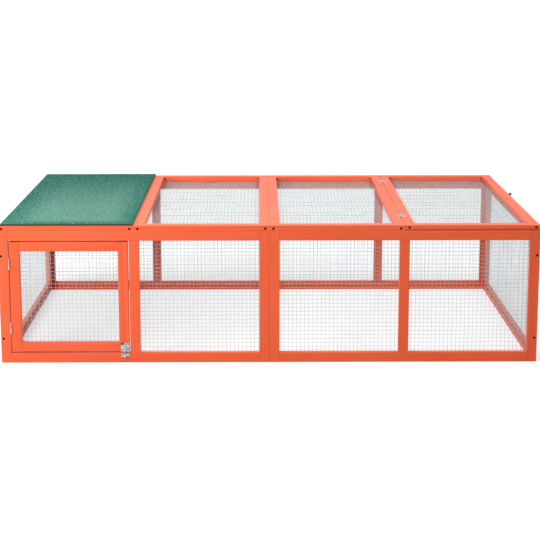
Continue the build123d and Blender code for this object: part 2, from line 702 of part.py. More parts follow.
# Screws, in groups of their own
write("wall_frame_screws", screws(frame_specs))
write("wall_joining_screws", screws(joining))
write("roof_frame_screws", screws(roof_specs))
write("roof_fixing_screws", screws(fixing_specs))
write("lid_frame_screws", screws(lid_specs))
write("door_frame_screws", screws(door_specs))
write("fittings_screws_run", screws(door_fixed_specs + lid_fixed_specs + keeper_specs))
write("fittings_screws_door", screws(door_moving_specs + plate_specs))
write("fittings_screws_lid", screws(lid_moving_specs))
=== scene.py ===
"""Dresses the solids of a low timber-framed outdoor pet cage.

The timber, hinges, bolt and catch keep their solids and get procedural finishes. The nets, the
screws and the roofing felt are modelled here in full, and small staples hold the nets.
"""

import json
import logging
import math
import random
from dataclasses import dataclass
from enum import Enum
from typing import Optional, Sequence

import bmesh
import bpy
from mathutils import Matrix, Vector, noise


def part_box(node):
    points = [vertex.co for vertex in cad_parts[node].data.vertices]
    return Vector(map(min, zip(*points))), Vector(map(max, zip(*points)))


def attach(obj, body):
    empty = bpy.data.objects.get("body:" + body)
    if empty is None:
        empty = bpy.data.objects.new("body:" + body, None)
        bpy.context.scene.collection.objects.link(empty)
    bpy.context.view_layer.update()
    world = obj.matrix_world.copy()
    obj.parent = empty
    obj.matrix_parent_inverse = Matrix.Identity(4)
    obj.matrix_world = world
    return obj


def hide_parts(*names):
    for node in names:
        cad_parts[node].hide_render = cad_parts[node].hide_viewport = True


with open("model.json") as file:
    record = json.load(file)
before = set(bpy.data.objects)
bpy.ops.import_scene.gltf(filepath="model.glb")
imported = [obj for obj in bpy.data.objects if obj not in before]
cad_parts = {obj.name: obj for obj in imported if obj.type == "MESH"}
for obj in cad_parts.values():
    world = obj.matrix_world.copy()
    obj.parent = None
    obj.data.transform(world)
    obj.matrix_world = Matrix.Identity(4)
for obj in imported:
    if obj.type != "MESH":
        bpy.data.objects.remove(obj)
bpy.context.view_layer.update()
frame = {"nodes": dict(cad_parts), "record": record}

LOG = logging.getLogger("pet_cage")
# Lengths in metres that count as nothing, in a place and between two corners.
TINY = 1e-7
TOUCH = 1e-6

Socket = bpy.types.NodeSocket
Triple = tuple[float, float, float]
Colour = Triple


class Grain(Enum):
    """The way the fibres of a bar run, as the turn that brings them upright."""

    ALONG_X = (0.0, -math.pi / 2, 0.0)
    ALONG_Y = (math.pi / 2, 0.0, 0.0)
    UPRIGHT = (0.0, 0.0, 0.0)


class NodeBody:
    """Looks up which body carries a solid."""

    def __init__(self) -> None:
        """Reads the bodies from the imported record."""
        bodies = frame["record"]["behaviour"]["bodies"]
        self.carrier = {node: body for body, nodes in bodies.items() for node in nodes}

    def of(self, node: str) -> str:
        """Body that carries a solid."""
        return self.carrier[node]

    def nodes(self, *endings: str) -> list[str]:
        """Names of the solids with one of some endings, in order."""
        return sorted(name for name in self.carrier if name.endswith(endings))


BODIES = NodeBody()


@dataclass(frozen=True)
class Cloud:
    """One smooth noise: its features per metre, its finer octaves and their weight, and its stretch."""

    scale: float = 1.0
    detail: float = 2.0
    roughness: float = 0.5
    stretch: Optional[Triple] = None


class Graph:
    """Adds shader nodes to one tree and joins them."""

    LIMITS = ("From Min", "From Max", "To Min", "To Max")
    # Sockets of the node that mixes two colours.
    MIX_SHARE, MIX_FIRST, MIX_SECOND, MIX_RESULT = 0, 6, 7, 2

    def __init__(self, tree: bpy.types.NodeTree) -> None:
        """Keeps the tree."""
        self.tree = tree

    def node(self, kind: str, feeds: Optional[dict] = None, **settings: object) -> bpy.types.Node:
        """Adds a node.

        Args:
            kind: Blender's name of the node type.
            feeds: Sockets or plain values for its inputs, by name or number.
            settings: Properties to set on it.

        Returns:
            The new node.
        """
        made = self.tree.nodes.new(kind)
        for key, value in settings.items():
            setattr(made, key, value)
        self.fill(made.inputs, feeds or {})
        return made

    def fill(self, inputs: bpy.types.NodeInputs, feeds: dict) -> None:
        """Links sockets to inputs, or sets plain values on them.

        Args:
            inputs: The inputs of one node.
            feeds: A socket, a plain value, or None to change nothing, by name or number.
        """
        for key, value in feeds.items():
            if isinstance(value, Socket):
                self.tree.links.new(value, inputs[key])
            elif value is not None:
                inputs[key].default_value = value

    def math(self, operation: str, a: object, b: object = None, c: object = None) -> Socket:
        """Arithmetic on up to three sockets or numbers."""
        return self.node("ShaderNodeMath", {0: a, 1: b, 2: c}, operation=operation).outputs[0]

    def vector(self, operation: str, a: object, b: object = None) -> bpy.types.Node:
        """Arithmetic on one or two vectors, as the node, which has a vector and a value."""
        return self.node("ShaderNodeVectorMath", {0: a, 1: b}, operation=operation)

    def stretch(self, source: Socket, scale: Triple) -> Socket:
        """A vector multiplied axis by axis."""
        return self.vector("MULTIPLY", source, scale).outputs[0]

    def noise(self, source: Socket, cloud: Cloud, output: str = "Fac") -> Socket:
        """Smooth noise.

        Args:
            source: Where it is read.
            cloud: Its features.
            output: Which output of the node is wanted.

        Returns:
            The noise from 0 to 1.
        """
        place = self.stretch(source, cloud.stretch) if cloud.stretch else source
        feeds = {"Vector": place, "Scale": cloud.scale, "Detail": cloud.detail, "Roughness": cloud.roughness}
        return self.node("ShaderNodeTexNoise", feeds).outputs[output]

    def span(self, value: Socket, *limits: float) -> Socket:
        """A value carried smoothly from one range to another, or to 0 to 1, and held at its ends."""
        feeds = {"Value": value, **dict(zip(self.LIMITS, limits))}
        return self.node("ShaderNodeMapRange", feeds, interpolation_type="SMOOTHSTEP").outputs["Result"]

    def ramp(self, value: Socket, stops: Sequence[tuple[float, Colour]]) -> Socket:
        """Colours along a value.

        Args:
            value: Where to read the ramp.
            stops: Places and colours, lowest first.

        Returns:
            The colour's socket.
        """
        made = self.node("ShaderNodeValToRGB", {"Fac": value})
        elements = made.color_ramp.elements
        while len(elements) < len(stops):
            elements.new(0.5)
        for element, (place, colour) in zip(elements, stops):
            element.position = place
            element.color = (*colour, 1.0)
        return made.outputs["Color"]

    def mix(self, share: object, a: object, b: object) -> Socket:
        """Two colours mixed.

        Args:
            share: How much of the second.
            a: First colour, a socket or three numbers.
            b: Second colour.

        Returns:
            The mixed colour's socket.
        """
        first, second = ((*value, 1.0) if isinstance(value, tuple) else value for value in (a, b))
        feeds = {self.MIX_SHARE: share, self.MIX_FIRST: first, self.MIX_SECOND: second}
        return self.node("ShaderNodeMix", feeds, data_type="RGBA").outputs[self.MIX_RESULT]


class EffectGroup:
    """Base of the shared shader groups: named sockets around one small graph."""

    title: str
    takes: Sequence[tuple[str, float]]
    gives: Sequence[str]

    def __init__(self) -> None:
        """Builds the group once."""
        self.tree = bpy.data.node_groups.new(self.title, "ShaderNodeTree")
        sockets = self.tree.interface
        sockets.new_socket("Vector", in_out="INPUT", socket_type="NodeSocketVector")
        for name, value in self.takes:
            sockets.new_socket(name, in_out="INPUT", socket_type="NodeSocketFloat").default_value = value
        for name in self.gives:
            sockets.new_socket(name, in_out="OUTPUT", socket_type="NodeSocketFloat")
        self.graph = Graph(self.tree)
        self.inside = self.graph.node("NodeGroupInput").outputs
        self.outside = self.graph.node("NodeGroupOutput").inputs
        self.build()

    def build(self) -> None:
        """Joins the group's inputs to its outputs."""
        raise NotImplementedError

    def give(self, **values: Socket) -> None:
        """Joins sockets to the group's outputs of the same names."""
        self.graph.fill(self.outside, values)

    def place(self, graph: Graph, **values: object) -> bpy.types.NodeOutputs:
        """Puts the group in a material with sockets or numbers for its inputs, and gives its outputs."""
        return graph.node("ShaderNodeGroup", values, node_tree=self.tree).outputs


class EdgeMask(EffectGroup):
    """Finds the worn rims of a solid, broken up so that no rim is even."""

    title = "edge_mask"
    takes = (("Radius", 0.001), ("Grit", 90.0))
    gives = ("Mask",)
    SAMPLES = 4
    RIM = (0.995, 0.80)
    BREAKS = (0.42, 0.62)

    def build(self) -> None:
        """Compares the rounded normal with the true one."""
        graph = self.graph
        rounded = graph.node("ShaderNodeBevel", {"Radius": self.inside["Radius"]}, samples=self.SAMPLES)
        true = graph.node("ShaderNodeNewGeometry").outputs["Normal"]
        same = graph.vector("DOT_PRODUCT", rounded.outputs[0], true).outputs["Value"]
        feeds = {"Vector": self.inside["Vector"], "Scale": self.inside["Grit"]}
        grit = graph.node("ShaderNodeTexNoise", feeds)
        broken = graph.span(grit.outputs["Fac"], *self.BREAKS)
        self.give(Mask=graph.math("MULTIPLY", graph.span(same, *self.RIM), broken))


class TimberFigure(EffectGroup):
    """Growth rings, fibres, knots and the uneven take-up of stain in one softwood bar, fibres along z."""

    title = "timber_figure"
    takes = ()
    gives = ("Rings", "Fibres", "Knots", "Board", "Blotch")
    KNOT_CELLS = (11.0, 11.0, 2.6)
    KNOT_LENGTH = 0.55
    KNOT_RIM = (0.0085, 0.0050)
    FRAY = Cloud(140.0)
    FRAY_DEPTH = 0.004
    DRIFT = Cloud(stretch=(2.6, 2.6, 0.07))
    PITH = (0.42, 0.60, 0.5)
    PITH_REACH = (0.25, 0.25, 0.0)
    ACROSS = (1.0, 1.0, 0.0)
    BULGE = (0.0, 0.030, 0.006, 0.0)
    WARP = Cloud(1.0, 3.0, 0.55, (9.0, 9.0, 0.55))
    WARP_DEPTH = 0.012
    RING_WIDTH = 0.0040
    LATE_START = (0.15, 0.86)
    LATE_STOP = (1.0, 0.90)
    FIBRES = Cloud(900.0, 3.0, 0.6, (1.0, 1.0, 0.022))
    BOARD = Cloud(1.0, 0.0, 0.5, (9.0, 9.0, 0.35))
    BLOTCH = Cloud(1.0, 3.0, 0.6, (14.0, 14.0, 3.2))

    def build(self) -> None:
        """Reads every figure from the same coordinates."""
        place = self.inside["Vector"]
        distance = self.from_knot(place)
        self.give(
            Rings=self.late_wood(place, distance),
            Fibres=self.graph.noise(place, self.FIBRES),
            Knots=self.graph.span(distance, *self.KNOT_RIM),
            Board=self.graph.noise(place, self.BOARD),
            Blotch=self.graph.noise(place, self.BLOTCH),
        )

    def from_knot(self, place: Socket) -> Socket:
        """Distance to the nearest knot, which lies along the fibres and has a frayed rim.

        Args:
            place: Where it is read.

        Returns:
            The distance in metres.
        """
        graph = self.graph
        cells = graph.stretch(place, self.KNOT_CELLS)
        knots = graph.node("ShaderNodeTexVoronoi", {"Vector": cells, "Scale": 1.0}, feature="F1")
        away = graph.vector("SUBTRACT", cells, knots.outputs["Position"]).outputs[0]
        across, along = 1.0 / self.KNOT_CELLS[0], self.KNOT_LENGTH / self.KNOT_CELLS[2]
        away = graph.stretch(away, (across, across, along))
        fray = graph.math("MULTIPLY", graph.noise(place, self.FRAY), self.FRAY_DEPTH)
        return graph.math("ADD", graph.vector("LENGTH", away).outputs["Value"], fray)

    def late_wood(self, place: Socket, distance: Socket) -> Socket:
        """Late wood of rings that wander about the pith and bulge round the knots.

        Args:
            place: Where it is read.
            distance: Distance to the nearest knot.

        Returns:
            The late wood from 0 to 1.
        """
        graph = self.graph
        pith = graph.vector("SUBTRACT", graph.noise(place, self.DRIFT, "Color"), self.PITH).outputs[0]
        from_pith = graph.vector("ADD", place, graph.stretch(pith, self.PITH_REACH)).outputs[0]
        radius = graph.vector("LENGTH", graph.stretch(from_pith, self.ACROSS)).outputs["Value"]
        radius = graph.math("ADD", radius, graph.span(distance, *self.BULGE))
        warp = graph.math("MULTIPLY", graph.noise(place, self.WARP), self.WARP_DEPTH)
        rings = graph.math("DIVIDE", graph.math("ADD", radius, warp), self.RING_WIDTH)
        turn = graph.math("FRACT", rings)
        return graph.math("MULTIPLY", graph.span(turn, *self.LATE_START), graph.span(turn, *self.LATE_STOP))


class Mottle(EffectGroup):
    """Cloudy patches with fine specks, for plated metal."""

    title = "mottle"
    takes = (("Scale", 60.0),)
    gives = ("Clouds", "Specks")
    CLOUDS = Cloud(1.0, 3.0, 0.6)
    SPECKS = Cloud(14.0, 2.0, 0.7)

    def build(self) -> None:
        """Reads two sizes of noise."""
        feeds = {0: self.inside["Vector"], "Scale": self.inside["Scale"]}
        place = self.graph.node("ShaderNodeVectorMath", feeds, operation="SCALE").outputs[0]
        self.give(Clouds=self.graph.noise(place, self.CLOUDS), Specks=self.graph.noise(place, self.SPECKS))


class Effects:
    """The shared groups, each built once."""

    def __init__(self) -> None:
        """Builds the groups."""
        self.edges = EdgeMask()
        self.timber = TimberFigure()
        self.mottle = Mottle()


class Finish:
    """Base of the finishes: one material around one Principled shader."""

    def start(self, title: str, roughness: float, specular: float, metallic: float = 0.0) -> Graph:
        """Makes a material with plain shader values.

        Args:
            title: The material's name.
            roughness: Even roughness, until something feeds it.
            specular: Specular level.
            metallic: Even metallic value.

        Returns:
            The material's graph, which is kept, as are the shader's inputs.
        """
        self.made = bpy.data.materials.new(title)
        self.made.use_nodes = True
        self.graph = Graph(self.made.node_tree)
        self.shader = self.made.node_tree.nodes["Principled BSDF"].inputs
        even = {"Roughness": roughness, "Specular IOR Level": specular, "Metallic": metallic}
        self.graph.fill(self.shader, even)
        return self.graph

    def bump(self, height: Socket, distance: float, strength: float) -> None:
        """Feeds a height, in shares of one distance, through a Bump node to the shader."""
        feeds = {"Height": height, "Distance": distance, "Strength": strength}
        self.graph.fill(self.shader, {"Normal": self.graph.node("ShaderNodeBump", feeds).outputs["Normal"]})


@dataclass(frozen=True)
class Stain:
    """Colours and gloss of a stained softwood, in linear values."""

    title: str
    late: Colour
    middle: Colour
    early: Colour
    knot: Colour
    end: Colour
    end_share: float
    roughness: float
    worn: Colour = (1.0, 1.0, 1.0)
    wear: float = 0.0


ORANGE_STAIN = Stain(
    title="orange_stain",
    late=(0.66, 0.080, 0.024),
    middle=(0.80, 0.112, 0.038),
    early=(0.88, 0.146, 0.056),
    knot=(0.20, 0.030, 0.012),
    end=(0.60, 0.074, 0.022),
    end_share=0.55,
    roughness=0.42,
    worn=(0.92, 0.230, 0.110),
    wear=0.40,
)
BARE_BOARD_PAINTED_EDGE_SHADE = Stain(
    title="bare_board_painted_edge_shade",
    late=(0.13, 0.075, 0.045),
    middle=(0.20, 0.120, 0.070),
    early=(0.26, 0.160, 0.095),
    knot=(0.06, 0.030, 0.020),
    # The end colour is painted shade: the board's front and back edges drawn near black, as in the shadow
    # under the felt.
    end=(0.030, 0.036, 0.026),
    end_share=0.92,
    roughness=0.75,
)


class TimberFinish(Finish):
    """Stained softwood with rings, fibres, knots, darker end grain (near-black painted shade on the roof
    board's edges) and lightly worn rims.
    """

    SPECULAR = 0.25
    SHIFT = (0.31, 0.17, 0.0)
    RING_TONE = (-0.30, 0.62)
    TONE_WEIGHTS = {"Fibres": 0.60, "Blotch": 0.70, "Board": 0.60}
    KNOT_SHARE = 0.85
    END_FACING = (0.80, 0.95)
    RIMS = {"Radius": 0.0016, "Grit": 70.0}
    FIBRE_ROUGHNESS = 0.16
    END_ROUGHNESS = 0.25
    WORN_ROUGHNESS = 0.3
    RING_HEIGHT = 0.5
    KNOT_DEPTH = 0.6
    RELIEF = (0.00035, 0.55)

    def __init__(self, stain: Stain, effects: Effects) -> None:
        """Keeps what the materials are built from.

        Args:
            stain: Colours and gloss.
            effects: The shared groups.
        """
        self.stain = stain
        self.effects = effects
        self.by_grain: dict[Grain, bpy.types.Material] = {}

    def material(self, grain: Grain) -> bpy.types.Material:
        """Material for bars whose fibres run one way.

        Args:
            grain: The way the fibres run.

        Returns:
            The material, built on first use.
        """
        if grain not in self.by_grain:
            self.by_grain[grain] = self.build(grain)
        return self.by_grain[grain]

    def build(self, grain: Grain) -> bpy.types.Material:
        """Builds the material for one direction of the fibres.

        Args:
            grain: The way the fibres run.

        Returns:
            The material.
        """
        stain = self.stain
        graph = self.start(f"{stain.title}_{grain.name.lower()}", stain.roughness, self.SPECULAR)
        coordinates = graph.node("ShaderNodeTexCoord").outputs
        place = self.turned(coordinates["Object"], grain, "POINT", Location=self.SHIFT)
        figure = self.effects.timber.place(graph, Vector=place)
        normal = self.turned(coordinates["Normal"], grain, "NORMAL")
        upright = graph.node("ShaderNodeSeparateXYZ", {"Vector": normal}).outputs["Z"]
        end = graph.span(graph.math("ABSOLUTE", upright), *self.END_FACING)
        rims = self.effects.edges.place(graph, Vector=place, **self.RIMS)
        worn = graph.math("MULTIPLY", rims["Mask"], stain.wear)

        tone = graph.math("MULTIPLY_ADD", figure["Rings"], *self.RING_TONE)
        for name, weight in self.TONE_WEIGHTS.items():
            tone = graph.math("MULTIPLY_ADD", figure[name], weight, graph.math("SUBTRACT", tone, weight / 2))
        colour = graph.ramp(tone, [(0.0, stain.late), (0.5, stain.middle), (1.0, stain.early)])
        colour = graph.mix(graph.math("MULTIPLY", figure["Knots"], self.KNOT_SHARE), colour, stain.knot)
        # Faces that show end grain take the end colour; on the roof board this colour is painted shade.
        colour = graph.mix(graph.math("MULTIPLY", end, stain.end_share), colour, stain.end)
        colour = graph.mix(worn, colour, stain.worn)

        least = stain.roughness - self.FIBRE_ROUGHNESS / 2
        rough = graph.math("MULTIPLY_ADD", figure["Fibres"], self.FIBRE_ROUGHNESS, least)
        rough = graph.math("MULTIPLY_ADD", end, self.END_ROUGHNESS, rough)
        rough = graph.math("MULTIPLY_ADD", worn, self.WORN_ROUGHNESS, rough)
        graph.fill(self.shader, {"Base Color": colour, "Roughness": rough})
        height = graph.math("MULTIPLY_ADD", figure["Rings"], self.RING_HEIGHT, figure["Fibres"])
        height = graph.math("SUBTRACT", height, graph.math("MULTIPLY", figure["Knots"], self.KNOT_DEPTH))
        self.bump(height, *self.RELIEF)
        return self.made

    def turned(self, source: Socket, grain: Grain, kind: str, **more: Triple) -> Socket:
        """Coordinates or normals, turned so that the fibres stand upright. More sets further inputs."""
        feeds = {"Vector": source, "Rotation": grain.value, **more}
        return self.graph.node("ShaderNodeMapping", feeds, vector_type=kind).outputs["Vector"]


@dataclass(frozen=True)
class Plating:
    """Colours and gloss of a metal surface, in linear values."""

    title: str
    dull: Colour
    bright: Colour
    roughness: float
    cloud_scale: float
    specular: float = 0.5
    metallic: float = 1.0
    worn: Colour = (1.0, 1.0, 1.0)
    wear: float = 0.0


ZINC_PLATE = Plating(
    title="zinc_plate",
    dull=(0.26, 0.29, 0.29),
    bright=(0.62, 0.66, 0.65),
    roughness=0.34,
    cloud_scale=90.0,
    worn=(0.86, 0.87, 0.86),
    wear=0.6,
)
DULL_GALVANISING = Plating(
    title="dull_galvanising",
    dull=(0.34, 0.37, 0.38),
    bright=(0.54, 0.58, 0.59),
    roughness=0.48,
    cloud_scale=140.0,
)
BLACK_STEEL = Plating(
    title="black_steel",
    dull=(0.0045, 0.0030, 0.0022),
    bright=(0.012, 0.009, 0.007),
    roughness=0.50,
    cloud_scale=160.0,
    specular=0.12,
    metallic=0.0,
    worn=(0.050, 0.040, 0.034),
    wear=0.35,
)
DARK_FITTING = Plating(
    title="dark_fitting",
    dull=(0.018, 0.020, 0.018),
    bright=(0.040, 0.042, 0.038),
    roughness=0.38,
    cloud_scale=120.0,
    specular=0.3,
    metallic=0.0,
    worn=(0.18, 0.18, 0.16),
    wear=0.5,
)


class MetalFinish(Finish):
    """Plated or blackened metal with clouds, specks and brighter worn rims."""

    TONES = (0.30, 0.70)
    RIMS = {"Radius": 0.0006, "Grit": 400.0}
    CLOUD_ROUGHNESS = 0.22
    SPECK_ROUGHNESS = 0.10
    RELIEF = (0.00006, 0.5)

    def __init__(self, plating: Plating, effects: Effects) -> None:
        """Builds the material.

        Args:
            plating: Colours and gloss.
            effects: The shared groups.
        """
        graph = self.start(plating.title, plating.roughness, plating.specular, plating.metallic)
        place = graph.node("ShaderNodeTexCoord").outputs["Object"]
        patches = effects.mottle.place(graph, Vector=place, Scale=plating.cloud_scale)
        clouds, specks = patches["Clouds"], patches["Specks"]
        colour = graph.ramp(clouds, list(zip(self.TONES, (plating.dull, plating.bright))))
        if plating.wear:
            rims = effects.edges.place(graph, Vector=place, **self.RIMS)
            worn = graph.math("MULTIPLY", rims["Mask"], plating.wear)
            colour = graph.mix(worn, colour, plating.worn)
        least = plating.roughness - self.CLOUD_ROUGHNESS / 2
        rough = graph.math("MULTIPLY_ADD", clouds, self.CLOUD_ROUGHNESS, least)
        rough = graph.math("MULTIPLY_ADD", specks, self.SPECK_ROUGHNESS, rough)
        graph.fill(self.shader, {"Base Color": colour, "Roughness": rough})
        self.bump(specks, *self.RELIEF)


class FeltFinish(Finish):
    """Roofing felt: packed mineral granules in several greens on a dark ground, with a painted sheen over
    the middle and front.
    """

    GROUND = (0.012, 0.050, 0.038)
    GREENS = (
        (0.00, (0.005, 0.056, 0.040)),
        (0.35, (0.014, 0.105, 0.078)),
        (0.60, (0.031, 0.162, 0.123)),
        (0.82, (0.070, 0.245, 0.192)),
        (1.00, (0.175, 0.380, 0.315)),
    )
    # Paler colour of the painted sheen, which stands for light and sheen on the middle and front of the
    # sheet.
    PAINTED_SHEEN = (0.32, 0.50, 0.40)
    PAINTED_SHEEN_SHARE = 0.26
    # Widths over which the painted sheen fades at the left, the right, the front and the back.
    FADES = (0.13, 0.10, 0.07, 0.75)
    ROUGHNESS = 0.95
    SPECULAR = 0.10
    GRANULE = 0.0026
    FLAT = (1.0, 1.0, 0.35)
    CLUMPS = Cloud(120.0, 2.0, 0.7, (1.0, 0.4, 0.35))
    PATCHES = Cloud(5.0, stretch=FLAT)
    SHADE_WEIGHT = 0.62
    CLUMP_WEIGHT = 1.20
    PATCH_WEIGHT = 0.22
    TONE_DROP = 0.52
    GAPS = (0.45, 0.80, 0.0, 0.55)
    UNEVEN = 0.5
    RELIEF = (0.0007, 0.8)

    def __init__(self, sheet: tuple[Vector, Vector]) -> None:
        """Builds the material.

        Args:
            sheet: Low and high corners of the felt.
        """
        graph = self.start("green_granules", self.ROUGHNESS, self.SPECULAR)
        place = graph.node("ShaderNodeTexCoord").outputs["Object"]
        feeds = {"Vector": graph.stretch(place, self.FLAT), "Scale": 1.0 / self.GRANULE}
        grains = graph.node("ShaderNodeTexVoronoi", feeds, feature="F1").outputs
        shade = graph.node("ShaderNodeSeparateColor", {"Color": grains["Color"]}).outputs
        clumps = graph.math("MULTIPLY", graph.noise(place, self.CLUMPS), self.CLUMP_WEIGHT)
        patches = graph.math("MULTIPLY", graph.noise(place, self.PATCHES), self.PATCH_WEIGHT)
        tone = graph.math("MULTIPLY_ADD", shade["Red"], self.SHADE_WEIGHT, clumps)
        tone = graph.math("ADD", graph.math("SUBTRACT", tone, self.TONE_DROP), patches)
        # Painted sheen: the paler colour covers the middle and front and fades towards the edges and back,
        # as the light falls.
        sheen_share = graph.math("MULTIPLY", self.painted_sheen(place, sheet), self.PAINTED_SHEEN_SHARE)
        colour = graph.mix(sheen_share, graph.ramp(tone, self.GREENS), self.PAINTED_SHEEN)
        gap = graph.span(grains["Distance"], *self.GAPS)
        graph.fill(self.shader, {"Base Color": graph.mix(gap, colour, self.GROUND)})
        tops = graph.math("MULTIPLY", shade["Green"], self.UNEVEN)
        self.bump(graph.math("SUBTRACT", tops, grains["Distance"]), *self.RELIEF)

    def painted_sheen(self, place: Socket, sheet: tuple[Vector, Vector]) -> Socket:
        """Painted sheen and light: a paler colour that fades towards the edges of the sheet, most of all
        towards the back.

        Args:
            place: Object coordinates.
            sheet: Low and high corners of the felt.

        Returns:
            The painted sheen from 0 to 1.
        """
        graph = self.graph
        low, high = sheet
        left, right, front, back = self.FADES
        split = graph.node("ShaderNodeSeparateXYZ", {"Vector": place}).outputs
        x, y = split["X"], split["Y"]
        west, east = graph.span(x, low.x, low.x + left), graph.span(x, high.x, high.x - right)
        near, far = graph.span(y, low.y, low.y + front), graph.span(y, high.y, high.y - back)
        return graph.math("MULTIPLY", graph.math("MULTIPLY", west, east), graph.math("MULTIPLY", near, far))


class Shaper:
    """Small jobs that every built piece needs."""

    @staticmethod
    def stamp(target: bmesh.types.BMesh, pattern: bpy.types.Mesh, place: Matrix) -> None:
        """Adds one placed copy of a mesh to a bmesh.

        Args:
            target: Receives the copy.
            pattern: The mesh to copy.
            place: Where the copy goes.
        """
        first = len(target.verts)
        target.from_mesh(pattern)
        target.verts.ensure_lookup_table()
        bmesh.ops.transform(target, matrix=place, verts=target.verts[first:])

    @staticmethod
    def pattern(shape: bmesh.types.BMesh) -> bpy.types.Mesh:
        """Closes a bmesh into a mesh that is only copied from.

        Args:
            shape: The modelled shape, which is freed.

        Returns:
            The mesh.
        """
        bmesh.ops.recalc_face_normals(shape, faces=shape.faces)
        mesh = bpy.data.meshes.new("pattern")
        shape.to_mesh(mesh)
        shape.free()
        return mesh

    @staticmethod
    def along(axis: int, length: float = 1.0) -> Vector:
        """A vector along one axis."""
        return Vector([length if index == axis else 0.0 for index in range(3)])

    @staticmethod
    def finish(
        shape: bmesh.types.BMesh, title: str, material: bpy.types.Material, body: str, slot: str,
        smooth: bool = True, stands_for: Optional[str] = None,
    ) -> bpy.types.Object:
        """Turns a bmesh into a finished piece.

        Args:
            shape: The modelled shape, which is freed.
            title: Name of the piece.
            material: Its finish.
            body: Body that it moves with.
            slot: Slot of the record that its finish belongs to; not used.
            smooth: Whether its faces are shaded smooth.
            stands_for: Solid that it replaces.

        Returns:
            The piece.
        """
        mesh = bpy.data.meshes.new(title)
        for face in shape.faces:
            face.smooth = smooth
        shape.to_mesh(mesh)
        shape.free()
        mesh.materials.append(material)
        piece = bpy.data.objects.new(title, mesh)
        bpy.context.scene.collection.objects.link(piece)
        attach(piece, body)
        if stands_for:
            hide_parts(stands_for)
        LOG.info("%s: %d faces on %s", title, len(mesh.polygons), body)
        return piece


@dataclass
class Timber:
    """The bars of the walls, the roof, the lid and the door, which keep their solids."""

    finish: TimberFinish
    board_finish: TimberFinish

    def grain(self, node: str) -> Grain:
        """The way the fibres run in one node's bars.

        Args:
            node: Name of the solid.

        Returns:
            The direction.
        """
        if node.endswith(("_posts", "_mullion")) or node == "door_stiles":
            return Grain.UPRIGHT
        if node.endswith("_stiles") or (node.endswith("_rails") and "_end_" in node):
            return Grain.ALONG_Y
        return Grain.ALONG_X

    def dress(self) -> None:
        """Gives each bar its finish."""
        for node in BODIES.nodes("_posts", "_mullion", "_rails", "_stiles"):
            self.paint(node, self.finish.material(self.grain(node)))
        self.paint("roof_1_board", self.board_finish.material(Grain.ALONG_Y))

    @staticmethod
    def paint(node: str, material: bpy.types.Material) -> None:
        """Gives one solid a material.

        Args:
            node: Name of the solid.
            material: Its finish.
        """
        piece = frame["nodes"][node]
        piece.data.materials.clear()
        piece.data.materials.append(material)
        LOG.info("%s wears %s", node, material.name)


@dataclass
class Hardware:
    """Hinges, bolt and catch, which keep their solids."""

    zinc: bpy.types.Material
    dark: bpy.types.Material
    dark_nodes: tuple[str, ...] = ("lid_stud", "bolt_knob")
    zinc_endings: tuple[str, ...] = ("_leaves", "_pins", "_plate", "_keeper", "_rod", "_hook", "_pivot")

    def dress(self) -> None:
        """Gives each fitting its finish."""
        for node in BODIES.nodes(*self.zinc_endings):
            Timber.paint(node, self.zinc)
        for node in self.dark_nodes:
            Timber.paint(node, self.dark)


